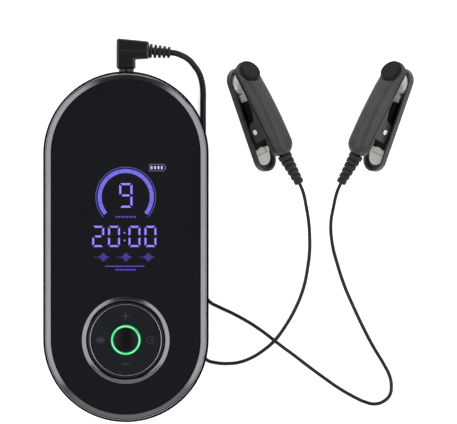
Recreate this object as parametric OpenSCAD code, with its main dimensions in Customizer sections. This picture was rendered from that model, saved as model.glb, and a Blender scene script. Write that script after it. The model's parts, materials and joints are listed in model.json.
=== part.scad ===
// Hand-held microcurrent stimulator with a plug-in lead and two sprung ear clips.
// The handset lies on its back: +Z out of its face, +Y towards the jack, X across it.
// The origin is the centre of its base.

/* [Handset] */
// Width of the handset across its straight sides
case_w = 56; // [55:0.5:58]
// Length of the handset from end to end
case_l = 118.7; // [116:0.1:124]
// Height of the rear shell, where the front frame sits on it
shell_h = 12.8; // [12.6:0.1:13]
// Radius of the big round on the shell's lower edge
edge_r = 10; // [9.8:0.1:10]
// Wall thickness of the rear shell
wall = 1.6; // [1.4:0.1:1.7]
// Thickness of the silicone pad under the handset
pad_h = 0.8; // [0.7:0.1:0.9]
// Width of the shell's rim outside the front frame
rim_step = 0.75; // [0.6:0.05:0.9]
// Width of the front frame's visible band
bezel_w = 2; // [1.8:0.1:2.2]

/* [Controls] */
// Distance of the pad's centre below the handset's centre
pad_drop = 31.5; // [31:0.1:32]
// Outer radius of the metal ring around the pad
ring_r = 15; // [14.8:0.1:15.2]
// Radius of the power button
button_r = 4.12; // [4.1:0.01:4.15]
// Travel of the power button
button_travel = 0.4; // [0.2:0.1:0.4]

/* [Lead] */
// Diameter of the trunk cord
trunk_d = 2.1; // [1.8:0.1:2.2]
// Diameter of the two thin leads
lead_d = 1.2; // [1:0.1:1.2]
// Height of the jack's axis above the table
jack_z = 8; // [7.9:0.1:8.1]
// Radius of the jack plug's contacts
jack_r = 1.75; // [1.7:0.01:1.76]

/* [Ear clips] */
// Half width of the front cover
cover_r = 4.1; // [4:0.1:4.2]
// Half width of the rear jaw
rear_r = 4.4; // [4.3:0.1:4.5]
// Angle between the two jaws when closed
jaw_angle = 11; // [10.8:0.1:11.2]
// Radius of the pivot pin
pin_r = 0.9; // [0.8:0.05:1]
// Angle by which a clip leans over about its own length
lean = 48; // [46:1:50]
// Angle of the left clip's length from the handset's length
heading = 26.3; // [24:0.1:28]
// Place of the left clip's pivot
clip_at = [45.7, 39.7, 7.75];
// Middle line between the two clips
mirror_x = 65.8; // [65:0.1:67]

/* [Hidden] */
$fn = 64;

// Handset: radii are measured from the stadium's middle line, heights from the table
case_r = case_w / 2;
end_y = (case_l - case_w) / 2;
arc_r = case_r - edge_r;
bezel_out = case_r - rim_step;
bezel_in = bezel_out - bezel_w;
face_z = shell_h + 2.8;
deck_top = shell_h + 1.1;
tape_h = 0.2;
glass_z = deck_top + tape_h;
glass_h = 1.2;
display_half = [15, 22];
display_y = 10;
board_z = 8;
board_h = 1;
board_r = 23.5;
board_top = board_z + board_h;
battery_z = pad_h + wall + 0.5;
// Screw places: the case's four, and the board's four
case_screw_at = [11, 48.5];
board_screw_at = [17.5, 12];
// Pad stack
pad_y = -pad_drop;
dome_h = 0.4;
rocker_z = board_top + 1.6;
pad_z = rocker_z + 2.1;
pad_top = pad_z + 2.6;
pad_r = ring_r - 2.05;
guide_in = button_r + 0.08;
guide_out = guide_in + 0.9;
button_top = face_z + 0.4;
// Charging socket
charge_h = 3.2;
charge_z = board_z - charge_h / 2;
charge_mouth_y = -57.9;
// Jack
jack_face_y = 58.6;
socket_y = [43.6, 55.6];
neck_y = 59;
plug_axis_y = 66.5;
plug_boot_at = [7.8, plug_axis_y, jack_z];
// Clip: places along the jaws, and heights of the front jaw above the pivot
head_u = 19.3;
tail_u = -7.35;
jaw_w = 4.6;
cover_w = 5.4;
cover_top = 8.9;
lug_v = 2.1;
lug_t = 0.8;
rear_head_u = 18;
rear_electrode_u = 17;
rear_tail_u = -10.1;
cap_w = 7.4;
cap_r = 4;
cap_tilt = 18;
tray_base = -4.4;
tray_floor = -3.3;
tray_rim = -1.9;
wire_r = 0.25;
boot_start = [4.8, -11.2, 0];
boot_end = [3.3, -21.9, -2];
// Low end of the moulding where the trunk parts into the two leads
split_at = [25.8, 6, 1.85];

// Routes of the cords: the middle of the cord, in mm
trunk_route = [[15, 65.9, 8], [16.6, 65.7, 7.9], [18.4, 65.1, 7.6], [21, 63.7, 6.6],
    [22.9, 61.7, 5.4], [24.6, 59.2, 4], [25.6, 56.2, 2.8], [26, 53, 1.9], [26, 49, 1.3],
    [26, 45, 1.1], [26, 40, 1.05], [26, 34, 1.05], [26, 28, 1.05], [26, 22, 1.1],
    [25.9, 18, 1.5], [25.8, 15, 1.85]];
left_route = [[25.15, 6, 1.85], [25.1, 1, 1], [25, -5, 0.6], [25, -12, 0.6], [25, -19, 0.6],
    [25, -26, 0.6], [25.1, -31.5, 0.6], [25.7, -36, 0.6], [27.3, -38.7, 0.6],
    [30.3, -39.7, 0.6], [34.5, -40, 0.6], [38.2, -39.6, 0.6], [42.4, -38.1, 0.6],
    [46.6, -35.5, 0.6], [50.5, -32.1, 0.6], [54, -27.4, 0.6], [57.6, -21.1, 0.6],
    [60.3, -14.2, 0.6], [61.8, -6.9, 0.6], [62.4, -1.5, 0.6], [62.4, 3, 1.2],
    [62.1, 7.8, 2.7], [61.2, 13.3, 5.2], [60, 18.6, 7.75], [58.7, 21.7, 9]];
right_route = [[26.45, 6, 1.85], [26.5, 1, 1], [26.5, -4, 0.6], [26.4, -9, 0.6],
    [26.3, -13, 0.6], [26.7, -16.3, 0.6], [28.2, -18.8, 0.6], [31.5, -20.7, 0.6],
    [35.6, -22.6, 0.6], [40.8, -25.4, 0.6], [44, -27.4, 0.8], [47.4, -29.8, 1.5],
    [50.5, -32.2, 1.9], [53.6, -34.6, 1.5], [56.6, -36.8, 0.8], [61.8, -40.8, 0.6],
    [67.1, -44.7, 0.6], [72.4, -48.4, 0.6], [77.6, -51.4, 0.6], [81.3, -53.1, 0.6],
    [84.7, -53.8, 0.6], [87.8, -52.8, 0.6], [89.8, -50.7, 0.6], [90.3, -47.9, 0.6],
    [89.7, -44.2, 0.6], [87.6, -40, 0.6], [84.4, -34.7, 0.6], [81.3, -28.9, 0.6],
    [77.6, -21.1, 0.6], [74.4, -13.7, 0.6], [71.8, -5.8, 0.6], [70.2, 0.5, 0.9],
    [69.6, 7.8, 2.7], [70.4, 13.3, 5.2], [71.6, 18.6, 7.75], [72.9, 21.7, 9]];

// ---------- shared shapes ----------

// Turns a half profile (x is the radius, y the height) into a stadium-shaped solid
module stadium(y0, y1) {
    translate([0, y1, 0]) rotate_extrude(angle = 180) children();
    translate([0, y0, 0]) rotate([0, 0, 180]) rotate_extrude(angle = 180) children();
    translate([0, y1, 0]) rotate([90, 0, 0]) linear_extrude(y1 - y0) {
        children();
        mirror([1, 0]) children();
    }
}

// Flat stadium-shaped plate
module stadium_plate(r, y0, y1, h) {
    linear_extrude(h) {
        translate([0, y0]) circle(r);
        translate([0, y1]) circle(r);
        translate([-r, y0]) square([2 * r, y1 - y0]);
    }
}

// Half profile from the middle line out to r, with its outer corner rounded at the top
module rounded_profile(r, z0, z1, round_r) {
    translate([0, z0]) square([r - round_r, z1 - z0]);
    translate([0, z0]) square([r, z1 - z0 - round_r]);
    intersection() {
        translate([r - round_r, z1 - round_r]) circle(round_r);
        translate([0, z0]) square([r, z1 - z0]);
    }
}

// Half profile of the shell's bowl, with the big round on its lower edge
module bowl_profile(r, z0, z1, round_r) {
    translate([0, z0]) square([r - round_r, z1 - z0]);
    translate([0, z0 + round_r]) square([r, z1 - z0 - round_r]);
    intersection() {
        translate([r - round_r, z0 + round_r]) circle(round_r);
        translate([0, z0]) square([r, z1 - z0]);
    }
}

// Puts something at all four mirrored places of a screw pattern
module at_four(at) {
    for (sx = [-1, 1], sy = [-1, 1]) translate([sx * at[0], sy * at[1], 0]) children();
}

// Screw with a round head below its shank
module screw(head_r, head_h, shank_r, length) {
    cylinder(r = head_r, h = head_h);
    cylinder(r = shank_r, h = length);
}

// Points an upright shape along +Y, on the jack's axis
module on_jack_axis(y) {
    translate([0, y, jack_z]) rotate([-90, 0, 0]) children();
}

// Points an upright shape along the line between two points
module between(a, b) {
    d = b - a;
    translate(a) rotate([0, acos(d[2] / norm(d)), atan2(d[1], d[0])]) children();
}

function unit(v) = v / norm(v);
function heading_at(route, i) =
    unit(route[min(i + 1, len(route) - 1)] - route[max(i - 1, 0)]);
function side_of(d, up) = unit(cross(d, up));
function ring_points(route, i, r, sides, up) =
    let (d = heading_at(route, i), s = side_of(d, up), n = cross(s, d))
    [for (k = [0:sides - 1]) route[i] + r * (cos(360 * k / sides) * s + sin(360 * k / sides) * n)];

// Round tube swept along a route; up is a direction that the route never takes
module tube(route, r, sides, up) {
    rings = len(route);
    points = [for (i = [0:rings - 1]) each ring_points(route, i, r, sides, up)];
    walls = [for (i = [0:rings - 2], k = [0:sides - 1]) let (n = (k + 1) % sides)
        [i * sides + k, (i + 1) * sides + k, (i + 1) * sides + n, i * sides + n]];
    first_end = [for (k = [0:sides - 1]) k];
    last_end = [for (k = [0:sides - 1]) rings * sides - 1 - k];
    polyhedron(points, concat(walls, [first_end, last_end]), convexity = 10);
}

// ---------- handset ----------

module base_pad() {
    color("#202022") stadium(-end_y, end_y) mirror([0, 1]) translate([0, -pad_h])
        rounded_profile(arc_r - 1, 0, pad_h, 0.3);
}

module case_screws() {
    color("silver") at_four(case_screw_at) translate([0, 0, 1.35]) screw(2, 1.2, 0.9, 10);
}

module rear_shell() {
    color("#1c1c1f") difference() {
        union() {
            difference() {
                stadium(-end_y, end_y) bowl_profile(case_r, pad_h, shell_h, edge_r);
                stadium(-end_y, end_y)
                    bowl_profile(case_r - wall, pad_h + wall, shell_h + 1, edge_r - wall);
            }
            intersection() {
                stadium(-end_y, end_y) bowl_profile(case_r - 0.5, pad_h, shell_h, edge_r - 0.5);
                union() {
                    at_four(case_screw_at) translate([0, 0, pad_h]) cylinder(r = 3.4, h = 8.7);
                    at_four(board_screw_at) translate([0, 0, pad_h])
                        cylinder(r = 2.2, h = board_z - pad_h);
                }
            }
        }
        at_four(case_screw_at) {
            translate([0, 0, -1]) cylinder(r = 2.2, h = 3.6);
            cylinder(r = 1.2, h = shell_h);
        }
        at_four(board_screw_at) translate([0, 0, 3.5]) cylinder(r = 0.95, h = board_z);
        on_jack_axis(50) cylinder(r = 2.75, h = 7.3);
        on_jack_axis(50) cylinder(r = 2.1, h = 12);
        on_jack_axis(jack_face_y) cylinder(r = 3.5, h = 3);
        translate([0, -50, charge_z]) charge_slot(9.5, 3.7, 12);
    }
}

// Half profile of the bezel: its top slopes down to the outer edge
module bezel_profile() {
    polygon([[0, shell_h], [bezel_out, shell_h], [bezel_out, face_z - 1.25],
        [bezel_out - 0.12, face_z - 0.85], [bezel_out - 0.42, face_z - 0.62],
        [bezel_in + 0.1, face_z], [0, face_z]]);
}

module front_frame() {
    color("#8c8c92") difference() {
        union() {
            stadium(-end_y, end_y) {
                difference() {
                    bezel_profile();
                    translate([0, deck_top]) square([bezel_in, 5]);
                }
                translate([bezel_in - 0.45, shell_h - 1.5]) square([1.5, 2]);
            }
            at_four(case_screw_at) translate([0, 0, 9.6]) cylinder(r = 2.4, h = shell_h - 9);
        }
        at_four(case_screw_at) translate([0, 0, 9]) cylinder(r = 0.95, h = 3.4);
        translate([-display_half[0] - 0.3, display_y - display_half[1] - 0.3, 0])
            cube([2 * display_half[0] + 0.6, 2 * display_half[1] + 0.6, 20]);
        translate([0, pad_y, 0]) cylinder(r = ring_r - 0.6, h = 20);
    }
}

module front_panel() {
    color("#101014") difference() {
        translate([0, 0, glass_z]) stadium_plate(bezel_in - 0.1, -end_y, end_y, glass_h);
        translate([0, pad_y, 0]) cylinder(r = ring_r + 0.1, h = 20);
    }
}

module panel_tape() {
    color("#303030") translate([0, 0, deck_top]) difference() {
        stadium_plate(bezel_in - 0.4, -end_y, end_y, tape_h);
        translate([-display_half[0] - 0.4, display_y - display_half[1] - 0.4, -1])
            cube([2 * display_half[0] + 0.8, 2 * display_half[1] + 0.8, 3]);
        translate([0, pad_y, -1]) cylinder(r = ring_r + 0.3, h = 3);
    }
}

module display_module() {
    color("#2a2440") translate([-display_half[0], display_y - display_half[1], glass_z - 2.1])
        cube([2 * display_half[0], 2 * display_half[1], 2.1]);
}

module display_flex() {
    flex_y = display_y - display_half[1] - 1;
    low_z = glass_z - 2.1;
    color("#b87333") rotate([90, 0, 90]) translate([0, 0, -6]) linear_extrude(12) polygon([
        [flex_y + 5, low_z], [flex_y - 0.2, low_z], [flex_y - 0.2, board_top],
        [flex_y, board_top], [flex_y, low_z - 0.2], [flex_y + 5, low_z - 0.2]]);
}

module pad_ring() {
    inner = ring_r - 1.6;
    color("#9a9aa0") translate([0, pad_y, 0]) rotate_extrude()
        polygon([[inner, deck_top], [ring_r, deck_top], [ring_r, face_z - 0.6],
            [ring_r - 0.2, face_z - 0.45], [inner + 0.3, face_z], [inner, face_z - 0.2]]);
}

module light_guide() {
    color("#7dffb0") translate([0, pad_y, board_top + 0.6]) difference() {
        cylinder(r = guide_out, h = face_z - 0.1 - board_top - 0.6);
        translate([0, 0, -1]) cylinder(r = guide_in, h = 10);
    }
}

module main_board() {
    color("#1f5a36") difference() {
        translate([0, 0, board_z]) stadium_plate(board_r, -end_y, end_y, board_h);
        translate([-3.3, socket_y[0] - 0.3, 0]) cube([6.6, 20, 20]);
        at_four(case_screw_at) cylinder(r = 3.8, h = 20);
        at_four(board_screw_at) cylinder(r = 1.1, h = 20);
    }
}

module board_screws() {
    color("silver") at_four(board_screw_at) translate([0, 0, board_top + 1.1])
        mirror([0, 0, 1]) screw(1.8, 1.1, 0.9, 6);
}

module dome_switches() {
    color("silver") translate([0, pad_y, board_top]) {
        cylinder(r = 1.8, h = dome_h);
        for (a = [0:90:270]) rotate([0, 0, a]) translate([9, 0, 0]) cylinder(r = 2, h = dome_h);
    }
}

module board_chips() {
    chips = [[-8, 6, 6], [6, 14, 5], [6, -2, 4], [-8, 22, 4]];
    color("#18181a") for (c = chips) translate([c[0] - c[2] / 2, c[1] - c[2] / 2, board_top])
        cube([c[2], c[2], 1]);
}

module step_up_inductor() {
    color("#3c3c40") translate([15, -24, board_z - 3.6]) cylinder(r = 3.2, h = 3.6);
}

module ring_leds() {
    color("#e8ffe8") translate([0, pad_y, board_top]) for (a = [45:90:315]) rotate([0, 0, a])
        translate([guide_in, -0.4, 0]) cube([0.9, 0.8, 0.6]);
}

module buzzer() {
    color("#141416") translate([-14, -26, board_z - 2.6]) difference() {
        cylinder(r = 4.4, h = 2.6);
        translate([0, 0, -1]) cylinder(r = 0.7, h = 2);
    }
}

module battery_cell() {
    color("#b9bdc4") translate([0, 0, battery_z]) linear_extrude(4.4) {
        translate([-10.5, -16]) square([21, 50]);
        translate([-11.5, -15]) square([23, 48]);
        for (x = [-10.5, 10.5], y = [-15, 33]) translate([x, y]) circle(1);
    }
}

module battery_tape() {
    color("#e0d8a0") translate([-9, -12, pad_h + wall]) cube([18, 42, 0.5]);
}

// Two wires that leave the cell's end and bend up to the board
module battery_leads() {
    bend = 1.4;
    wire_z = board_z - 2.9;
    color("#b02020") for (x = [-1.5, 1.5]) translate([x, -16, wire_z]) {
        rotate([90, 0, 0]) cylinder(r = 0.5, h = 3);
        translate([0, -3, bend]) rotate([0, -90, 0]) rotate([0, 0, 180])
            rotate_extrude(angle = 90) translate([bend, 0]) circle(0.5);
        translate([0, -3 - bend, bend]) cylinder(r = 0.5, h = board_z - wire_z - bend);
    }
}

// Socket body with a blind bore and a slot for each contact
module jack_socket() {
    color("#161618") difference() {
        union() {
            translate([-3.1, socket_y[0], jack_z - 2.6])
                cube([6.2, socket_y[1] - socket_y[0], 5.2]);
            on_jack_axis(socket_y[1]) cylinder(r = 2.6, h = 1.6);
        }
        on_jack_axis(socket_y[0] + 0.6) cylinder(r = jack_r + 0.08, h = 20);
        for (s = [-1, 1]) translate([s * 2.2 - 0.6, 46, jack_z - 0.8]) cube([1.2, 4, 1.6]);
        translate([-0.8, 51.5, jack_z + 1]) cube([1.6, 3.6, 1.7]);
    }
}

module jack_contacts() {
    color("#d8b25a") {
        for (s = [-1, 1]) translate([s * 2.4 - 0.15, 46.1, jack_z - 0.7]) cube([0.3, 3.8, 1.4]);
        translate([-0.7, 51.6, jack_z + 2.25]) cube([1.4, 3.4, 0.3]);
    }
}

// Slot-shaped bar that runs from the local origin towards -Y
module charge_slot(w, h, length) {
    rotate([90, 0, 0]) linear_extrude(length) {
        for (s = [-1, 1]) translate([s * (w - h) / 2, 0]) circle(h / 2);
        translate([-(w - h) / 2, -h / 2]) square([w - h, h]);
    }
}

// USB-C style socket: a slot-shaped metal sleeve around a tongue
module charging_socket() {
    color("silver") translate([0, charge_mouth_y + 7.3, charge_z]) {
        difference() {
            charge_slot(8.94, charge_h, 7.3);
            translate([0, -1.1, 0]) charge_slot(8.34, 2.56, 10);
        }
        translate([-3.35, -5.8, -0.35]) cube([6.7, 5, 0.7]);
    }
}

module power_button() {
    crown_r = 13;
    color("#0c0c0e") translate([0, pad_y, 0]) {
        intersection() {
            translate([0, 0, rocker_z + 1]) cylinder(r = button_r, h = 10);
            translate([0, 0, button_top - crown_r]) sphere(crown_r);
        }
        translate([0, 0, board_top + dome_h + button_travel + 0.3])
            cylinder(r = 1.5, h = 2);
    }
}

// Silicone rocker under the pad, with a plunger over each dome switch
module pad_rocker() {
    color("#505054") translate([0, pad_y, 0]) {
        translate([0, 0, rocker_z]) difference() {
            cylinder(r = 12.2, h = 1.4);
            translate([0, 0, -1]) cylinder(r = guide_out + 0.9, h = 4);
        }
        for (a = [0:90:270]) rotate([0, 0, a]) translate([9, 0, rocker_z - 0.4])
            cylinder(r = 1.2, h = 0.5);
    }
}

// Four-way pad with a fine turned groove and a flange that the ring holds down
module direction_pad() {
    color("#141416") translate([0, pad_y, 0]) rotate_extrude() difference() {
        union() {
            rounded_profile(pad_r, pad_z, pad_top, 0.4);
            translate([0, pad_z]) square([14, 0.4]);
        }
        square([guide_out + 0.4, 20]);
        translate([11.4, pad_top - 0.12]) square([0.15, 1]);
    }
}

// ---------- plug and cords ----------

// Block with rounded edges, level with the jack's axis, over the corners of its outline
module rounded_block(corners, half_h, r) {
    hull() for (c = corners, s = [-1, 1])
        translate([c[0], c[1], jack_z + s * (half_h - r)]) sphere(r, $fn = 20);
}

// Right-angle moulding: an upright over the jack and an arm towards the cord
module plug_body() {
    half_h = 3.2;
    edge = 0.9;
    left = -3.3 + edge;
    upright_right = 3.15 - edge;
    arm_right = plug_boot_at[0] - edge;
    top = 70.6 - edge;
    arm_top = 69.7 - edge;
    color("#222224") difference() {
        union() {
            rounded_block([[left, 60.2 + edge], [upright_right, 60.2 + edge],
                [upright_right, arm_top], [left, top]], half_h, edge);
            rounded_block([[left, 63.3 + edge], [arm_right, 63.7 + edge],
                [arm_right, arm_top], [left, top]], half_h, edge);
            on_jack_axis(neck_y) cylinder(r = 2.55, h = 3);
        }
        on_jack_axis(neck_y - 1) cylinder(r = jack_r, h = 4);
    }
}

module plug_sleeve() {
    color("#d9c48a") on_jack_axis(50.9) cylinder(r = jack_r, h = neck_y + 3 - 50.9);
}

module plug_ring() {
    color("#d9c48a") on_jack_axis(48.1) cylinder(r = jack_r, h = 2.3);
}

module plug_tip() {
    color("#d9c48a") on_jack_axis(45) rotate_extrude()
        polygon([[0, 0], [0.9, 0.3], [jack_r, 1.4], [1.3, 2.1], [1.3, 2.6], [0, 2.6]]);
}

module plug_insulators() {
    color("#111111") for (y = [47.6, 50.4]) on_jack_axis(y) cylinder(r = 1.65, h = 0.5);
}

// Strain relief made of ribs on a core; each rib is a little smaller than the last
module ribbed_boot(ribs, pitch, rib_w, r0, r1, core_r, round_r) {
    rotate_extrude() {
        square([core_r, (ribs - 1) * pitch + rib_w]);
        for (i = [0:ribs - 1]) translate([0, i * pitch]) {
            r = r0 + (r1 - r0) * i / (ribs - 1);
            square([r - round_r, rib_w]);
            translate([0, round_r]) square([r, rib_w - 2 * round_r]);
            for (y = [round_r, rib_w - round_r]) translate([r - round_r, y]) circle(round_r);
        }
    }
}

module plug_boot() {
    color("#222224") between(plug_boot_at, trunk_route[0])
        ribbed_boot(5, 1.54, 1.04, 2.5, 2, 1.3, 0.35);
}

module lead_trunk() {
    color("#222224") tube(trunk_route, trunk_d / 2, 8, [0, 0, 1]);
}

// Moulding where the trunk parts into the two thin leads
module y_split() {
    color("#222224") translate(split_at) rotate([-90, 0, 0]) rotate_extrude()
        polygon([[0, 0], [1.4, 0], [1.5, 1.5], [1.5, 6], [1.25, 9], [0, 9]]);
}

module lead_left() {
    color("#222224") tube(left_route, lead_d / 2, 8, [0, 0, 1]);
}

module lead_right() {
    color("#222224") tube(right_route, lead_d / 2, 8, [0, 0, 1]);
}

// ---------- ear clips ----------
// In a clip's own frame the pivot is the origin, +X faces out of the front jaw,
// +Y points to the head and Z runs along the pin.

module on_clip(side) {
    if (side == "left") {
        translate(clip_at) rotate([0, -lean, heading]) children();
    } else {
        translate([2 * mirror_x, 0, 0]) mirror([1, 0, 0])
            translate(clip_at) rotate([0, -lean, heading]) children();
    }
}

// Turns an upright shape so that its height runs along +X
module facing_out() {
    rotate([0, 90, 0]) children();
}

// Frame of the rear jaw, which leans towards the front jaw at the head
module on_rear_jaw() {
    rotate([0, 0, -jaw_angle]) children();
}

// Seat of the head cap, tilted towards the head
module on_cap_seat() {
    translate([cap_w, head_u, 0]) rotate([0, 0, cap_tilt]) facing_out() children();
}

module front_cover(side) {
    color("#48484c") on_clip(side) difference() {
        facing_out() stadium(tail_u, head_u)
            rounded_profile(cover_r, cover_w, cover_top, 2.1);
        on_cap_seat() hull() for (v = [0, 1.5]) translate([0, v, 0]) cylinder(r = cap_r + 0.15, h = 5);
    }
}

module head_cap(side) {
    cap_h = 1.1;
    color("#2c2c2e") on_clip(side) on_cap_seat() rotate_extrude() difference() {
        rounded_profile(cap_r, 0, cap_h, 0.6);
        translate([3.1, cap_h - 0.2]) square([0.25, 1]);
    }
}

// Side plate of the front jaw that carries the pin, from the jaw down into the tray
module side_lug() {
    linear_extrude(lug_t) polygon([[jaw_w + 0.1, 10.5], [1.8, 3.8], [-1.5, 2.8], [-2.2, 1.6],
        [-2.6, 0], [-2.4, -2], [-2.1, -3.5], [jaw_w + 0.1, -3.5]]);
}

module front_jaw(side) {
    color("#404044") on_clip(side) difference() {
        union() {
            facing_out() translate([0, 0, jaw_w])
                stadium_plate(cover_r - 0.3, tail_u, head_u, cover_w - jaw_w);
            facing_out() translate([0, 0, jaw_w - 2])
                stadium_plate(2.9, tail_u - 0.6, tail_u + 2, 2.1);
            for (z = [lug_v, -lug_v - lug_t]) translate([0, 0, z]) side_lug();
        }
        translate([0, 0, -5]) cylinder(r = pin_r, h = 10);
        facing_out() translate([0, 18.7, jaw_w - 1]) cylinder(r = 1.2, h = 2);
    }
}

// Domed electrode: its crown is part of a sphere, and a stud holds it in the jaw
module electrode(base_r, foot, crown, stud_r, stud) {
    ball_r = (base_r * base_r + crown * crown) / (2 * crown);
    rotate_extrude() {
        square([base_r, foot]);
        intersection() {
            translate([0, foot + crown - ball_r]) circle(ball_r, $fn = 128);
            square([base_r, foot + crown]);
        }
        translate([0, -stud]) square([stud_r, stud + 0.01]);
    }
}

module front_electrode(side) {
    color("#d6d8dc") on_clip(side) translate([jaw_w, 18.7, 0]) rotate([0, -90, 0])
        electrode(3.2, 0.3, 1.1, 1.2, 0.7);
}

module pivot_pin(side) {
    color("#e4e6ea") on_clip(side) translate([0, 0, -3]) cylinder(r = pin_r, h = 6);
}

// Torsion spring around the pin, with a leg under the front jaw's tail and one over the tray
module spring(side) {
    coil_r = 1.72;
    turns = 3.5;
    steps = 16;
    pitch = 0.52;
    low = pitch * turns / 2;
    coil = [for (i = [0:turns * steps]) let (a = 360 * i / steps)
        [coil_r * cos(a), coil_r * sin(a), pitch * i / steps - low]];
    front_leg = [[2.25, -6, -low], [1.9, -1.5, -low]];
    rear_leg = [[-1.85, -1.5, low], [-2.1, -3.2, low]];
    color("#c8cacf") on_clip(side)
        tube(concat(front_leg, coil, rear_leg), wire_r, 6, [0, 0, 1]);
}

module lead_boot(side) {
    color("#2c282c") on_clip(side) between(boot_start, boot_end)
        ribbed_boot(6, 1.92, 1.5, 2.4, 1.65, 1.4, 0.25);
}

module rear_jaw(side) {
    color("#404044") on_clip(side) on_rear_jaw() difference() {
        union() {
            facing_out() difference() {
                stadium(rear_tail_u, rear_head_u) mirror([0, 1])
                    rounded_profile(rear_r, -tray_rim, -tray_base, 0.8);
                translate([0, 0, tray_floor])
                    stadium_plate(rear_r - 0.75, rear_tail_u, rear_head_u, 5);
            }
            translate([tray_floor - 0.3, 4.2, -1.8]) cube([2.7, 6.3, 3.6]);
            for (z = [1.2, -1.8]) translate([0, 0, z]) linear_extrude(0.6) {
                circle(2);
                polygon([[tray_floor - 0.2, 3.6], [tray_floor - 0.2, -3.4], [0.4, -1.9], [0.4, 1.9]]);
            }
        }
        translate([0, 0, -5]) cylinder(r = pin_r + 0.06, h = 10);
    }
}

module rear_electrode(side) {
    color("#d6d8dc") on_clip(side) on_rear_jaw()
        translate([tray_floor, rear_electrode_u, 0]) rotate([0, 90, 0])
            electrode(3.55, 1.2, 1.2, 1, 0);
}

module contact_strip(side) {
    color("#e4e6ea") on_clip(side) on_rear_jaw()
        translate([tray_floor, 10.6, -1.6]) cube([0.5, 2.75, 3.2]);
}

module tail_plate(side) {
    color("#e9e7dc") on_clip(side) on_rear_jaw() {
        facing_out() translate([0, 0, tray_floor]) linear_extrude(0.4) difference() {
            union() {
                translate([0, -9.1]) circle(3.1);
                translate([-3.1, -9.1]) square([6.2, 2.7]);
            }
            translate([-2.5, -8.3]) square([5, 0.2]);
        }
        translate([tray_floor + 0.3, -8.2, -2.5]) cube([1, 1.8, 0.4]);
    }
}

// ---------- one line for each node ----------

base_pad();
case_screws();
rear_shell();
front_frame();
front_panel();
panel_tape();
display_module();
display_flex();
pad_ring();
light_guide();
main_board();
board_screws();
dome_switches();
board_chips();
step_up_inductor();
ring_leds();
buzzer();
battery_cell();
battery_tape();
battery_leads();
jack_socket();
jack_contacts();
charging_socket();
power_button();
pad_rocker();
direction_pad();
plug_body();
plug_sleeve();
plug_ring();
plug_tip();
plug_insulators();
plug_boot();
lead_trunk();
y_split();
lead_left();
lead_right();
front_cover("left");  // left_front_cover
front_jaw("left");  // left_front_jaw
head_cap("left");  // left_head_cap
front_electrode("left");  // left_front_electrode
pivot_pin("left");  // left_pivot_pin
spring("left");  // left_spring
lead_boot("left");  // left_lead_boot
rear_jaw("left");  // left_rear_jaw
rear_electrode("left");  // left_rear_electrode
contact_strip("left");  // left_contact_strip
tail_plate("left");  // left_tail_plate
front_cover("right");  // right_front_cover
front_jaw("right");  // right_front_jaw
head_cap("right");  // right_head_cap
front_electrode("right");  // right_front_electrode
pivot_pin("right");  // right_pivot_pin
spring("right");  // right_spring
lead_boot("right");  // right_lead_boot
rear_jaw("right");  // right_rear_jaw
rear_electrode("right");  // right_rear_electrode
contact_strip("right");  // right_contact_strip
tail_plate("right");  // right_tail_plate
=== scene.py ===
"""Looks of the ear-clip stimulator: handset, plug-in lead and two sprung ear clips.

Everything is in metres in the row's frame: the handset lies on its back on z = 0,
+Z out of its face, +Y towards the jack, +X towards the ear clips.
"""
import json
import math

import bmesh
import bpy
from mathutils import Matrix, Vector


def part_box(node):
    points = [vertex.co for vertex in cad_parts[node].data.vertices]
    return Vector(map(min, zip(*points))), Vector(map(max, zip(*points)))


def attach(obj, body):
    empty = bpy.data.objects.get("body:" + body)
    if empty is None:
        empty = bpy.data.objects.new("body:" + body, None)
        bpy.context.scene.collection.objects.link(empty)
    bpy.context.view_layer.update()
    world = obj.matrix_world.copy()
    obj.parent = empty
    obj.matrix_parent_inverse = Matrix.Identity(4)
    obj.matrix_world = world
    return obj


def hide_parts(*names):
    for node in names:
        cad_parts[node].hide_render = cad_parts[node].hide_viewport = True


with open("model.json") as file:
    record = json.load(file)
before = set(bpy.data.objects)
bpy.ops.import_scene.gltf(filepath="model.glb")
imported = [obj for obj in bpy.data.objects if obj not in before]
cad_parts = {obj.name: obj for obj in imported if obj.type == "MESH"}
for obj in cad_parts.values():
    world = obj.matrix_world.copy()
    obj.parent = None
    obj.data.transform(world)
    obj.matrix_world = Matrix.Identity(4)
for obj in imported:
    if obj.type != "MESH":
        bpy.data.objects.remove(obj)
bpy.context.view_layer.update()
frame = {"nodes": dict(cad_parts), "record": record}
nodes = frame["nodes"]
scene = bpy.context.scene
MM = 0.001


# ---------- camera ----------

def add_camera():
    """Long lens straight above the scene, with +Y up in the picture."""
    lens, sensor = 300, 36
    picture_width = 154.3 * MM
    centre = Vector((34.7, 11.75, 0)) * MM
    face_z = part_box("front_panel")[1].z
    data = bpy.data.cameras.new("camera")
    data.lens = lens
    data.sensor_width = sensor
    data.clip_start = 0.05
    data.clip_end = 20
    camera = bpy.data.objects.new("camera", data)
    camera.location = (centre.x, centre.y, face_z + picture_width * lens / sensor)
    scene.collection.objects.link(camera)
    scene.camera = camera


add_camera()


# ---------- materials ----------

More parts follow.
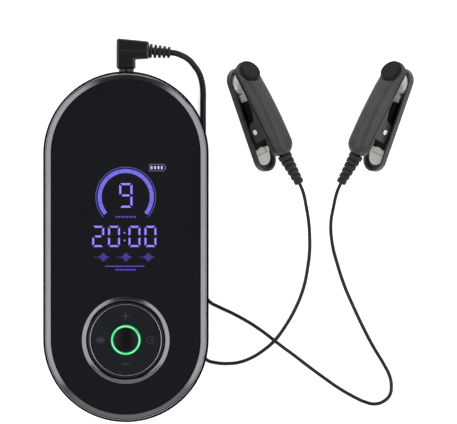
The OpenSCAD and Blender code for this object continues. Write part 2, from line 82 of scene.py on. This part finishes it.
class Shader:
    """A Principled material with helpers for the textures that drive it."""

    def __init__(self, name, color, rough, metal=0.0, spec=0.5):
        self.material = bpy.data.materials.new(name)
        self.material.use_nodes = True
        self.tree = self.material.node_tree
        self.bsdf = self.tree.nodes["Principled BSDF"]
        self.set("Base Color", (*color, 1))
        self.set("Roughness", rough)
        self.set("Metallic", metal)
        self.set("IOR", 1.5)
        self.set("Specular IOR Level", spec)
        self.position = self.tree.nodes.new("ShaderNodeTexCoord").outputs["Object"]

    def set(self, socket, value):
        self.bsdf.inputs[socket].default_value = value

    def link(self, source, target):
        self.tree.links.new(source, target)

    def noise(self, scale, detail=3):
        """Noise over the object; scale is in features per metre."""
        node = self.tree.nodes.new("ShaderNodeTexNoise")
        node.inputs["Scale"].default_value = scale
        node.inputs["Detail"].default_value = detail
        node.inputs["Roughness"].default_value = 0.55
        self.link(self.position, node.inputs["Vector"])
        return node.outputs["Fac"]

    def ramp(self, source, low, high):
        """Maps the middle of a grey input's range to the values low..high."""
        node = self.tree.nodes.new("ShaderNodeMapRange")
        node.inputs["From Min"].default_value = 0.3
        node.inputs["From Max"].default_value = 0.7
        node.inputs["To Min"].default_value = low
        node.inputs["To Max"].default_value = high
        self.link(source, node.inputs["Value"])
        return node.outputs["Result"]

    def vary_color(self, source, dark, light):
        """Base colour between dark and light, by a grey input."""
        node = self.tree.nodes.new("ShaderNodeValToRGB")
        node.color_ramp.elements[0].position = 0.35
        node.color_ramp.elements[0].color = (*dark, 1)
        node.color_ramp.elements[1].position = 0.65
        node.color_ramp.elements[1].color = (*light, 1)
        self.link(source, node.inputs["Fac"])
        self.link(node.outputs["Color"], self.bsdf.inputs["Base Color"])

    def vary_rough(self, source, low, high):
        self.link(self.ramp(source, low, high), self.bsdf.inputs["Roughness"])

    def bump(self, source, depth):
        """Relief of the given depth in metres."""
        node = self.tree.nodes.new("ShaderNodeBump")
        node.inputs["Strength"].default_value = 1
        node.inputs["Distance"].default_value = depth
        self.link(source, node.inputs["Height"])
        self.link(node.outputs["Normal"], self.bsdf.inputs["Normal"])

    def glow(self, color, strength):
        self.set("Emission Color", (*color, 1))
        self.set("Emission Strength", strength)


def mix(color, factor):
    """A darker or lighter shade of a colour."""
    return tuple(c * factor for c in color)


def moulded(name, color, rough, grain=9000, depth=3e-6, **more):
    """Moulded plastic: a fine spark texture and slight changes of shade and gloss."""
    s = Shader(name, color, rough, **more)
    s.vary_color(s.noise(160, 4), mix(color, 0.88), mix(color, 1.14))
    s.vary_rough(s.noise(420, 3), rough * 0.88, rough * 1.14)
    s.bump(s.noise(grain, 2), depth)
    return s.material


def glossy(name, color, rough, **more):
    """Gloss plastic or lacquer: faint orange peel and a few softer patches."""
    s = Shader(name, color, rough, **more)
    s.vary_color(s.noise(60, 2), mix(color, 0.94), mix(color, 1.06))
    s.vary_rough(s.noise(240, 4), rough * 0.85, rough * 1.2)
    s.bump(s.noise(300, 1), 1.5e-6)
    return s.material


def metal(name, color, rough, shine=1.0, mottle=0.06, **more):
    """Turned or rolled metal; shine under 1 leaves part of the light scattered."""
    s = Shader(name, color, rough, metal=shine, **more)
    s.vary_color(s.noise(700, 3), mix(color, 1 - mottle), mix(color, 1 + mottle))
    s.vary_rough(s.noise(1500, 3), rough * 0.85, rough * 1.2)
    s.bump(s.noise(2500, 2), 6e-7)
    return s.material


def rubbery(name, color, rough, grain=5200, depth=8e-6, **more):
    """Soft moulded rubber or cord jacket: fine matte grain and a dusty shade change."""
    s = Shader(name, color, rough, **more)
    s.vary_color(s.noise(300, 5), mix(color, 0.8), mix(color, 1.25))
    s.vary_rough(s.noise(900, 3), rough * 0.9, min(1, rough * 1.1))
    s.bump(s.noise(grain, 3), depth)
    return s.material


def lit(name, base, glow_color, strength):
    """Lit print under gloss: an even glow with a slight mottle of the backlight."""
    s = Shader(name, base, 0.4, spec=0.2)
    s.glow(glow_color, strength)
    s.vary_color(s.noise(1200, 3), mix(base, 0.8), mix(base, 1.2))
    return s.material


MATERIALS = {
    "shell_black": glossy("gloss_black_shell", (0.008, 0.008, 0.0095), 0.14),
    "bezel_grey": glossy("gunmetal_lacquer", (0.19, 0.19, 0.205), 0.19, metal=1.0),
    "glass_black": glossy("black_glass", (0.0098, 0.0103, 0.0138), 0.05),
    "display": glossy("display_glass", (0.012, 0.011, 0.018), 0.1),
    "tape": moulded("tape_film", (0.05, 0.05, 0.05), 0.7),
    "flex_copper": moulded("polyimide_film", (0.40, 0.18, 0.05), 0.35),
    "board_green": moulded("solder_mask", (0.016, 0.13, 0.05), 0.35),
    "chip_black": moulded("chip_mould", (0.02, 0.02, 0.022), 0.6),
    "steel": metal("nickel_plate", (0.62, 0.61, 0.6), 0.28),
    "battery_foil": metal("pouch_foil", (0.62, 0.64, 0.68), 0.4),
    "wire_red": moulded("wire_jacket", (0.42, 0.02, 0.02), 0.45),
    "contact_gold": metal("gold_flash", (0.83, 0.62, 0.3), 0.2),
    "pad_rubber": rubbery("silicone_pad", (0.02, 0.02, 0.022), 0.75),
    "pad_black": moulded("satin_pad_black", (0.0115, 0.0135, 0.0165), 0.3, depth=1e-6, spec=0.3),
    "plug_black": moulded("plug_moulding", (0.0085, 0.0083, 0.0115), 0.3, depth=1e-6, spec=0.5),
    "cord_black": rubbery("cord_jacket", (0.008, 0.0078, 0.009), 0.5, spec=0.35),
    "boot_rubber": rubbery("boot_rubber", (0.022, 0.0175, 0.0225), 0.6, spec=0.35),
    "clip_plastic": moulded("clip_satin_plastic", (0.042, 0.041, 0.045), 0.4, spec=0.45),
    "electrode_metal": metal("polished_electrode", (0.97, 0.97, 0.98), 0.3, shine=0.1, mottle=0.02),
    "clip_steel": metal("bright_clip_steel", (0.97, 0.96, 0.91), 0.3, shine=0.08, mottle=0.02),
}
MATERIALS["glow_green"] = lit("green_light_guide", (0.006, 0.05, 0.022), (0.03, 0.36, 0.13), 0.55)
cover_black = moulded("clip_cover_plastic", (0.046, 0.0445, 0.05), 0.46, spec=0.45)
cap_black = moulded("head_cap_plastic", (0.0045, 0.0045, 0.005), 0.4, spec=0.22)
# Painted shade: near-black sheets laid in the clip trays where there is only shadow.
tray_shade_black = moulded("tray_painted_shade_sheet", (0.004, 0.004, 0.0045), 0.6, spec=0.25)
# Painted shade: near-black for the shadow in the parting lines of the clip covers and the plug.
painted_seam_shade = moulded("seam_shadow", (0.002, 0.002, 0.002), 0.8, spec=0.1)
button_black = glossy("button_lacquer", (0.0022, 0.0022, 0.0026), 0.4, spec=0.2)


def soften(obj):
    """Soft shading except at real edges."""
    for face in obj.data.polygons:
        face.use_smooth = True
    obj.data.set_sharp_from_angle(angle=math.radians(35))


def use_material(obj, material):
    obj.data.materials.clear()
    obj.data.materials.append(material)
    soften(obj)


def add_mesh(name, bm, body, material):
    """Turns a finished bmesh into a softly shaded object that rides on a body."""
    bmesh.ops.recalc_face_normals(bm, faces=bm.faces)
    mesh = bpy.data.meshes.new(name)
    bm.to_mesh(mesh)
    bm.free()
    obj = bpy.data.objects.new(name, mesh)
    scene.collection.objects.link(obj)
    mesh.materials.append(material)
    soften(obj)
    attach(obj, body)
    return obj


for part in frame["record"]["subparts"]:
    use_material(nodes[part["node"]], MATERIALS[part["material_slot"]])
use_material(nodes["power_button"], button_black)
for side in ("left", "right"):
    use_material(nodes[side + "_head_cap"], cap_black)


# ---------- cords ----------

TRUNK_ROUTE = [
    (15, 65.9, 8), (16.6, 65.7, 7.9), (18.4, 65.1, 7.6), (21, 63.7, 6.6), (22.9, 61.7, 5.4),
    (24.6, 59.2, 4), (25.6, 56.2, 2.8), (26, 53, 1.9), (26, 49, 1.3), (26, 45, 1.1),
    (26, 40, 1.05), (26, 34, 1.05), (26, 28, 1.05), (26, 22, 1.1), (25.9, 18, 1.5),
    (25.8, 15, 1.85)]
LEFT_ROUTE = [
    (25.15, 6, 1.85), (25.1, 1, 1), (25, -5, 0.6), (25, -12, 0.6), (25, -19, 0.6),
    (25, -26, 0.6), (25.1, -31.5, 0.6), (25.7, -36, 0.6), (27.3, -38.7, 0.6),
    (30.3, -39.7, 0.6), (34.5, -40, 0.6), (38.2, -39.6, 0.6), (42.4, -38.1, 0.6),
    (46.6, -35.5, 0.6), (50.5, -32.1, 0.6), (54, -27.4, 0.6), (57.6, -21.1, 0.6),
    (60.3, -14.2, 0.6), (61.8, -6.9, 0.6), (62.4, -1.5, 0.6), (62.4, 3, 1.2),
    (62.1, 7.8, 2.7), (61.2, 13.3, 5.2), (60, 18.6, 7.75), (58.7, 21.7, 9)]
RIGHT_ROUTE = [
    (26.45, 6, 1.85), (26.5, 1, 1), (26.5, -4, 0.6), (26.4, -9, 0.6), (26.3, -13, 0.6),
    (26.7, -16.3, 0.6), (28.2, -18.8, 0.6), (31.5, -20.7, 0.6), (35.6, -22.6, 0.6),
    (40.8, -25.4, 0.6), (44, -27.4, 0.8), (47.4, -29.8, 1.5), (50.5, -32.2, 1.9),
    (53.6, -34.6, 1.5), (56.6, -36.8, 0.8), (61.8, -40.8, 0.6), (67.1, -44.7, 0.6),
    (72.4, -48.4, 0.6), (77.6, -51.4, 0.6), (81.3, -53.1, 0.6), (84.7, -53.8, 0.6),
    (87.8, -52.8, 0.6), (89.8, -50.7, 0.6), (90.3, -47.9, 0.6), (89.7, -44.2, 0.6),
    (87.6, -40, 0.6), (84.4, -34.7, 0.6), (81.3, -28.9, 0.6), (77.6, -21.1, 0.6),
    (74.4, -13.7, 0.6), (71.8, -5.8, 0.6), (70.2, 0.5, 0.9), (69.6, 7.8, 2.7),
    (70.4, 13.3, 5.2), (71.6, 18.6, 7.75), (72.9, 21.7, 9)]


def make_cord(name, route, diameter):
    """Round cord on one smooth curve through the route's points."""
    curve = bpy.data.curves.new(name, "CURVE")
    curve.dimensions = "3D"
    curve.bevel_depth = diameter / 2
    curve.bevel_resolution = 4
    curve.use_fill_caps = True
    curve.resolution_u = 6
    spline = curve.splines.new("BEZIER")
    spline.bezier_points.add(len(route) - 1)
    for point, place in zip(spline.bezier_points, route):
        point.co = Vector(place) * MM
        point.handle_left_type = point.handle_right_type = "AUTO"
    cord = bpy.data.objects.new(name, curve)
    scene.collection.objects.link(cord)
    curve.materials.append(MATERIALS["cord_black"])
    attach(cord, "lead")
    return cord


trunk = make_cord("trunk_cord", TRUNK_ROUTE, 2.1 * MM)
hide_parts("lead_trunk")
left_cord = make_cord("left_clip_cord", LEFT_ROUTE, 1.2 * MM)
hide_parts("lead_left")
right_cord = make_cord("right_clip_cord", RIGHT_ROUTE, 1.2 * MM)
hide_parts("lead_right")


# ---------- flat prints: display, icons ----------

def plate(name, outlines, z, height, body, material):
    """Thin flat shapes, each from its outline in mm, standing on the height z in metres."""
    bm = bmesh.new()
    for outline in outlines:
        low = [bm.verts.new((x * MM, y * MM, z)) for x, y in outline]
        high = [bm.verts.new((x * MM, y * MM, z + height)) for x, y in outline]
        bm.faces.new(list(reversed(low)))
        bm.faces.new(high)
        for i in range(len(outline)):
            k = (i + 1) % len(outline)
            bm.faces.new((low[i], low[k], high[k], high[i]))
    return add_mesh(name, bm, body, material)


def rect(x, y, w, h):
    """Rectangle round its middle."""
    return [(x - w / 2, y - h / 2), (x + w / 2, y - h / 2),
            (x + w / 2, y + h / 2), (x - w / 2, y + h / 2)]


def sector(x, y, r0, r1, start, end, steps=None):
    """Part of a ring, anticlockwise from start to end in degrees."""
    steps = steps or max(6, int(abs(end - start) / 4))
    angles = [math.radians(start + (end - start) * i / steps) for i in range(steps + 1)]
    outer = [(x + r1 * math.cos(a), y + r1 * math.sin(a)) for a in angles]
    inner = [(x + r0 * math.cos(a), y + r0 * math.sin(a)) for a in reversed(angles)]
    return outer + inner


def disc(x, y, r, steps=20):
    return [(x + r * math.cos(2 * math.pi * i / steps), y + r * math.sin(2 * math.pi * i / steps))
            for i in range(steps)]


def ring(x, y, r0, r1, steps=96):
    """A whole ring as two halves, so that each outline stays simple."""
    return [sector(x, y, r0, r1, a, a + 180, steps // 2) for a in (0, 180)]


SEGMENTS = {"0": "abcdef", "2": "abged", "9": "abcdfg"}


def digit(value, x, y, w, h, t, gap):
    """Seven-segment digit with mitred segments of thickness t and small gaps between them."""
    right, top = w / 2, h / 2

    def across(level, inset_low, inset_high):
        low, high = right - gap - inset_low, right - gap - inset_high
        return [(-low, level - t / 2), (low, level - t / 2),
                (high, level + t / 2), (-high, level + t / 2)]

    def upright(side, low, high, inset_low, inset_high):
        outer, inner = side * right, side * (right - t)
        return [(outer, low + inset_low[0]), (inner, low + inset_low[1]),
                (inner, high - inset_high[1]), (outer, high - inset_high[0])]

    corner, middle = (gap + 0.3 * t, gap + 1.1 * t), (1.3 * gap, gap + 0.45 * t)
    shapes = {
        "a": across(top - t / 2, t, 0.2 * t),
        "d": across(-top + t / 2, 0.2 * t, t),
        "g": [(-right + t * 0.8 + gap, 0), (-right + t * 1.25 + gap, -t / 2),
              (right - t * 1.25 - gap, -t / 2), (right - t * 0.8 - gap, 0),
              (right - t * 1.25 - gap, t / 2), (-right + t * 1.25 + gap, t / 2)],
        "b": upright(1, 0, top, middle, corner),
        "c": upright(1, -top, 0, corner, middle),
        "e": upright(-1, -top, 0, corner, middle),
        "f": upright(-1, 0, top, middle, corner),
    }
    return [[(x + px, y + py) for px, py in shapes[s]] for s in SEGMENTS[value]]


PRINT_H = 0.03 * MM
glass_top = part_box("front_panel")[1].z
VIOLET = (0.15, 0.13, 0.66)
LILAC = (0.30, 0.21, 0.98)
DEEP = (0.10, 0.055, 0.43)
PALE = (0.62, 0.55, 0.95)
print_violet = lit("gauge_violet", (0.05, 0.04, 0.16), VIOLET, 0.95)
print_lilac = lit("digit_lilac", (0.07, 0.05, 0.2), LILAC, 1.0)
print_deep = lit("wave_violet", (0.02, 0.015, 0.08), DEEP, 0.75)
print_pale = lit("battery_white", (0.2, 0.2, 0.25), PALE, 0.85)
print_dim = lit("caption_violet", (0.02, 0.015, 0.08), (0.16, 0.09, 0.62), 0.6)

GAUGE = (0, 16.8)


def show_gauge():
    """Arc of nine segments with a thin line outside it."""
    x, y = GAUGE
    start, end, count = -40, 220, 9
    cuts = [start + (end - start) * i / count for i in range(count + 1)]
    bands = [sector(x, y, 8.12, 9.5, a + 0.35, b - 0.35) for a, b in zip(cuts, cuts[1:])]
    plate("display_gauge", bands, glass_top, PRINT_H, "handset", print_violet)
    line = lit("gauge_line", (0.03, 0.03, 0.1), (0.14, 0.11, 0.62), 0.8)
    plate("display_gauge_line", [sector(x, y, 10.0, 10.2, start - 1.5, end + 1.5, 80)], glass_top,
          PRINT_H, "handset", line)


def show_digits():
    """The level inside the gauge, and the time under it."""
    plate("display_level", digit("9", 0.05, 17.35, 4.45, 8.3, 0.7, 0.28), glass_top, PRINT_H,
          "handset", print_lilac)
    shapes = []
    for value, x in (("2", -9.3), ("0", -3.95), ("0", 2.95), ("0", 8.35)):
        shapes += digit(value, x, 3.5, 4.0, 7.15, 0.66, 0.3)
    shapes += [disc(-0.4, y, 0.28) for y in (4.75, 2.15)]
    plate("display_time", shapes, glass_top, PRINT_H, "handset", print_lilac)


def show_waves():
    """Three small pulse-train icons: rows of bars, tall in the middle, on a broken line."""
    bars = [(-1.36, 0.3), (-0.91, 0.62), (-0.46, 1.15), (0, 1.5), (0.46, 1.15), (0.91, 0.62),
            (1.3, 0.3)]
    shapes = []
    for x in (-7.55, 0.05, 7.6):
        shapes += [rect(x + offset, -3.5, 0.3, 2 * half) for offset, half in bars]
        shapes += [rect(x + offset, -3.5, 0.42, 0.3) for offset in (-2.75, -1.95, 1.8)]
    plate("display_waves", shapes, glass_top, PRINT_H, "handset", print_deep)


def show_battery():
    """Battery outline with a pointed cap and four bars."""
    x, y, w, h, t = 10.5, 26.75, 4.9, 2.2, 0.16
    frame_lines = [rect(x, y + h / 2, w, t), rect(x, y - h / 2, w, t), rect(x - w / 2, y, t, h + t)]
    tip = [(x + w / 2, y - h / 2), (x + w / 2 + 0.6, y - 0.35), (x + w / 2 + 0.6, y + 0.35),
           (x + w / 2, y + h / 2), (x + w / 2, y + h / 2 - 0.22), (x + w / 2 + 0.42, y),
           (x + w / 2, y - h / 2 + 0.22)]
    bars = [rect(x - 1.75 + 1.15 * i, y, 0.58, 1.05) for i in range(4)]
    plate("display_battery_outline", frame_lines + [tip], glass_top, PRINT_H, "handset",
          lit("battery_outline", (0.05, 0.05, 0.1), (0.28, 0.24, 0.5), 0.6))
    plate("display_battery_bars", bars, glass_top, PRINT_H, "handset", print_pale)


def show_captions():
    """A line, and rows of plain dashes in place of words."""
    plate("display_line", [rect(-0.3, -6.55, 13.3, 0.26)], glass_top, PRINT_H, "handset",
          lit("line_violet", (0.03, 0.02, 0.1), (0.19, 0.11, 0.72), 0.75))
    dashes = []
    for y, width, count in ((10.1, 7.1, 8), (-7.75, 7.2, 9)):
        pitch = width / count
        dashes += [rect((i - (count - 1) / 2) * pitch, y, pitch * 0.66, 0.62) for i in range(count)]
    plate("display_captions", dashes, glass_top, PRINT_H, "handset", print_dim)


show_gauge()
show_digits()
show_waves()
show_battery()
show_captions()


# ---------- control pad prints ----------

PAD = (0, -31.5)
pad_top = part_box("direction_pad")[1].z
# Grey print of the pad's icons; the same material paints the highlight along the plug's mould line.
print_and_highlight_grey = moulded("print_and_painted_highlight", (0.045, 0.046, 0.052), 0.5)
line_metal = metal("bright_inlay", (0.5, 0.5, 0.52), 0.34)


def pad_icons():
    """Plus above, a short wave below, a pulse train on the left and a timer on the right."""
    x, y = PAD
    up, down, left, right = y + 8.1, y - 8.1, x - 8.6, x + 8.3
    shapes = [rect(x, up, 0.3, 2.5), rect(x - 0.7, up, 1.0, 0.3), rect(x + 0.7, up, 1.0, 0.3)]
    shapes += [rect(x, down, 1.5, 0.28), rect(x - 1.0, down - 0.14, 0.4, 0.28),
               rect(x + 1.0, down - 0.14, 0.4, 0.28)]
    for i, half in enumerate((0.3, 0.9, 0.55, 1.25, 0.55, 1.25, 0.55, 0.9, 0.3)):
        shapes.append(rect(left + (i - 4) * 0.34, y, 0.2, 2 * half))
    shapes += ring(right, y, 1.12, 1.28, 40)
    shapes += [rect(right, y + 0.34, 0.2, 0.8), rect(right + 0.36, y - 0.02, 0.52, 0.2)]
    plate("pad_icons", shapes, pad_top, 0.012 * MM, "direction_pad", print_and_highlight_grey)


def inlay_ring(name, radius, wire, body, material):
    """Round wire ring half sunk into the pad's face."""
    x, y = PAD
    bm = bmesh.new()
    around, across = 160, 16
    loops = []
    for i in range(around):
        a = 2 * math.pi * i / around
        loops.append([bm.verts.new(((x + (radius + wire * math.cos(b)) * math.cos(a)) * MM,
                                    (y + (radius + wire * math.cos(b)) * math.sin(a)) * MM,
                                    pad_top + wire * MM * math.sin(b)))
                      for b in (2 * math.pi * k / across for k in range(across))])
    for i in range(around):
        for k in range(across):
            n, m = (i + 1) % around, (k + 1) % across
            bm.faces.new((loops[i][k], loops[n][k], loops[n][m], loops[i][m]))
    return add_mesh(name, bm, body, material)


def glow_line():
    """Bright middle of the lit ring, with paler stretches."""
    x, y = PAD
    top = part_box("light_guide")[1].z
    plate("ring_glow", ring(x, y, 4.38, 4.92), top, 0.02 * MM, "handset",
          lit("ring_glow", (0.02, 0.2, 0.08), (0.10, 0.78, 0.30), 0.95))
    pale = ((55, 125), (185, 250), (-35, 25), (285, 315))
    arcs = [sector(x, y, 4.55, 4.78, a, b) for a, b in pale]
    plate("ring_glow_pale", arcs, top + 0.02 * MM, 0.01 * MM, "handset",
          lit("ring_glow_pale", (0.1, 0.3, 0.15), (0.42, 0.96, 0.62), 0.95))


pad_icons()
inlay_ring("pad_bright_ring", 12.02, 0.12, "direction_pad", line_metal)
glow_line()


# ---------- ear clips: covers and tray liners ----------

# The same sizes as the clips' solids, in mm and degrees
CLIP_AT = (45.7, 39.7, 7.75)
CLIP_HEADING = 26.3
CLIP_LEAN = 48
MIRROR_X = 65.8
JAW_ANGLE = 11
COVER_TAIL, COVER_HEAD, COVER_RADIUS, COVER_BASE, COVER_TOP = -7.35, 19.3, 4.1, 5.4, 8.9
CAP_SEAT, CAP_TILT, CAP_POCKET = 7.4, 18, 4.15
TRAY_FLOOR = -3.3


def turn(degrees, axis):
    return Matrix.Rotation(math.radians(degrees), 4, axis)


def clip_matrix(side):
    """Clip frame to world: +X out of the front jaw, +Y to the head, +Z along the pin."""
    place = Matrix.Translation(Vector(CLIP_AT)) @ turn(CLIP_HEADING, "Z") @ turn(-CLIP_LEAN, "Y")
    if side == "right":
        mirror = Matrix.Scale(-1, 4, (1, 0, 0))
        place = Matrix.Translation(Vector((2 * MIRROR_X, 0, 0))) @ mirror @ place
    return Matrix.Scale(MM, 4) @ place


def stadium_loop(r, low, high, turns=20, runs=36):
    """Points (along, across) around a stadium; the same count for each radius."""
    points = []
    for i in range(turns + 1):
        a = math.pi * i / turns
        points.append((high + r * math.sin(a), r * math.cos(a)))
    points += [(high + (low - high) * i / runs, -r) for i in range(1, runs)]
    for i in range(turns + 1):
        a = math.pi * i / turns
        points.append((low - r * math.sin(a), -r * math.cos(a)))
    points += [(low + (high - low) * i / runs, r) for i in range(1, runs)]
    return points


def clip_cover(side):
    """Bowed front cover with a band of painted shade round its foot, for the shadow in the parting
    line, and a tilted flat at the head.
    """
    radius, base = COVER_RADIUS, COVER_BASE
    middle, half_bow, bow = 5.0, 13.5, 0.9

    def top(along):
        return COVER_TOP + bow * (1 - ((along - middle) / half_bow) ** 2)

    # Each layer: radius, height along the clip, material of the strip that ends there
    # The seam strip is painted shade: a black band in place of the shadow in the parting line.
    smooth, seam = 0, 1
    layers = [(radius - 0.08, lambda u: base, smooth), (radius - 0.03, lambda u: base + 0.03, seam),
              (radius - 0.03, lambda u: base + 0.43, seam),
              (radius, lambda u: base + 0.47, smooth)]
    rounds, inset = 10, 2.5
    start = base + 0.5
    for k in range(rounds + 1):
        a = math.pi / 2 * k / rounds
        layers.append((radius - inset * (1 - math.cos(a)),
                       lambda u, a=a: start + (top(u) - 0.12 - start) * math.sin(a),
                       smooth))
    for r in (1.0, 0.5, 0.0):
        layers.append((r, lambda u, r=r: top(u) - 0.05 * r, smooth))

    place = clip_matrix(side)
    bm = bmesh.new()
    loops = [[bm.verts.new(place @ Vector((height(u), u, v)))
              for u, v in stadium_loop(r, COVER_TAIL, COVER_HEAD)]
             for r, height, _ in layers]
    count = len(loops[0])
    bm.faces.new(loops[0])
    for (low, high), (_, _, slot) in zip(zip(loops, loops[1:]), layers[1:]):
        for i in range(count):
            k = (i + 1) % count
            face = bm.faces.new((low[i], low[k], high[k], high[i]))
            face.material_index = slot
    bmesh.ops.remove_doubles(bm, verts=bm.verts, dist=2e-6)
    cover = add_mesh(side + "_bowed_cover", bm, "lead", cover_black)
    cover.data.materials.append(painted_seam_shade)
    seat = Matrix.Translation(Vector((CAP_SEAT, COVER_HEAD, 0))) @ turn(CAP_TILT, "Z")
    cut_pocket(cover, place @ seat, CAP_POCKET)
    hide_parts(side + "_front_cover")


def cut_pocket(piece, place, radius):
    """Cuts down to the place's origin, round on the tail side and open past the head."""
    bm = bmesh.new()
    steps, past_head = 64, 1.5
    outline = [(radius * math.cos(a) + (past_head if math.cos(a) > 0 else 0), radius * math.sin(a))
               for a in (2 * math.pi * (i + 0.5) / steps for i in range(steps))]
    ends = [[bm.verts.new(place @ Vector((x, y, z))) for y, z in outline] for x in (0, 6)]
    bm.faces.new(ends[0])
    bm.faces.new(list(reversed(ends[1])))
    for i in range(steps):
        k = (i + 1) % steps
        bm.faces.new((ends[0][i], ends[0][k], ends[1][k], ends[1][i]))
    bmesh.ops.recalc_face_normals(bm, faces=bm.faces)
    mesh = bpy.data.meshes.new("cutter")
    bm.to_mesh(mesh)
    bm.free()
    cutter = bpy.data.objects.new("cutter", mesh)
    scene.collection.objects.link(cutter)
    cut = piece.modifiers.new("pocket", "BOOLEAN")
    cut.object = cutter
    cut.solver = "EXACT"
    piece.data = bpy.data.meshes.new_from_object(
        piece.evaluated_get(bpy.context.evaluated_depsgraph_get()))
    piece.modifiers.clear()
    bpy.data.objects.remove(cutter)
    soften(piece)


def paint_tray_shade(side):
    """Painted shade: a matt black sheet on the tray's floor and a black crowned cap over the tray's
    block, standing in for the shadow inside the tray and between the jaws.
    """
    place = clip_matrix(side) @ turn(-JAW_ANGLE, "Z")
    floor, block_top = TRAY_FLOOR, -0.9
    sheet = [(3.5 * math.sin(a), 9 + 3.5 * math.cos(a)) for a in
             (math.radians(-80 + 10 * i) for i in range(17))] + [(3.5, -6.2), (-3.5, -6.2)]
    cap = [(-1.83, 4.17), (1.83, 4.17), (1.83, 10.53), (-1.83, 10.53)]
    crown = [(0.7 * v, 7.35 + 0.85 * (u - 7.35)) for v, u in cap]
    bm = bmesh.new()
    for layers in (((sheet, floor + 0.01), (sheet, floor + 0.04)),
                   ((cap, floor + 0.04), (cap, block_top + 0.04), (crown, block_top + 0.16))):
        loops = [[bm.verts.new(place @ Vector((x, u, v))) for v, u in outline]
                 for outline, x in layers]
        bm.faces.new(loops[0])
        bm.faces.new(loops[-1])
        for low, high in zip(loops, loops[1:]):
            for i in range(len(low)):
                k = (i + 1) % len(low)
                bm.faces.new((low[i], low[k], high[k], high[i]))
    add_mesh(side + "_tray_painted_shade", bm, side + "_rear_arm", tray_shade_black)


for side in ("left", "right"):
    clip_cover(side)
    paint_tray_shade(side)


# ---------- plug ----------

def paint_plug_seam_shading():
    """Mould line across the plug's face, along the cord: a painted shade line with a painted
    highlight on its edge below it.
    """
    low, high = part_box("plug_body")
    y, sunk = 66.6, 0.01 * MM
    middle, width = (low.x + high.x) / MM / 2, (high.x - low.x) / MM - 1.6
    # Painted shade: dark strip for the shadow in the mould line's groove.
    plate("plug_mould_line_painted_shade", [rect(middle, y, width, 0.16)], high.z - sunk, 0.02 * MM, "lead",
          painted_seam_shade)
    # Painted highlight: pale strip for the light caught by the groove's lower edge.
    plate("plug_mould_edge_painted_highlight", [rect(middle, y - 0.2, width, 0.12)], high.z - sunk, 0.015 * MM,
          "lead", print_and_highlight_grey)


paint_plug_seam_shading()


# ---------- floor and light ----------

def add_floor():
    """Pale floor that glows a little, so that it comes out white."""
    bm = bmesh.new()
    bmesh.ops.create_grid(bm, x_segments=1, y_segments=1, size=3)
    mesh = bpy.data.meshes.new("floor")
    bm.to_mesh(mesh)
    bm.free()
    floor = bpy.data.objects.new("floor", mesh)
    scene.collection.objects.link(floor)
    s = Shader("pale_floor", (0.93, 0.93, 0.93), 0.8, spec=0.2)
    s.vary_color(s.noise(8, 2), (0.925, 0.925, 0.925), (0.935, 0.935, 0.935))
    s.glow((1, 1, 1), 0.75)
    mesh.materials.append(s.material)


def softbox(name, place, aim, size, radiance):
    """Even white rectangle; its power follows from its size and how bright it looks."""
    data = bpy.data.lights.new(name, "AREA")
    data.shape = "RECTANGLE"
    data.size, data.size_y = size
    data.energy = radiance * size[0] * size[1] * math.pi
    light = bpy.data.objects.new(name, data)
    light.location = place
    light.rotation_euler = (Vector(aim) - Vector(place)).to_track_quat("-Z", "Y").to_euler()
    scene.collection.objects.link(light)


def add_lights():
    """Softboxes low at the sides, so that the level glass mirrors only the dark above."""
    softbox("softbox_left", (-0.95, 0.3, 0.85), (0, 0.3, 0), (1.9, 1.3), 1.75)
    softbox("softbox_right", (0.95, 0.2, 0.85), (0, 0.2, 0), (1.8, 1.3), 1.75)
    softbox("softbox_low", (0, -1.15, 0.95), (0, 0, 0), (1.9, 1.0), 0.62)
    softbox("strip_top", (0, 1.25, 0.42), (0, 0, 0), (0.8, 0.28), 2.2)
    world = bpy.data.worlds.new("studio")
    scene.world = world
    world.use_nodes = True
    background = world.node_tree.nodes["Background"]
    background.inputs["Color"].default_value = (1, 1, 1, 1)
    background.inputs["Strength"].default_value = 0.07


add_floor()
add_lights()
scene.view_settings.view_transform = "Standard"
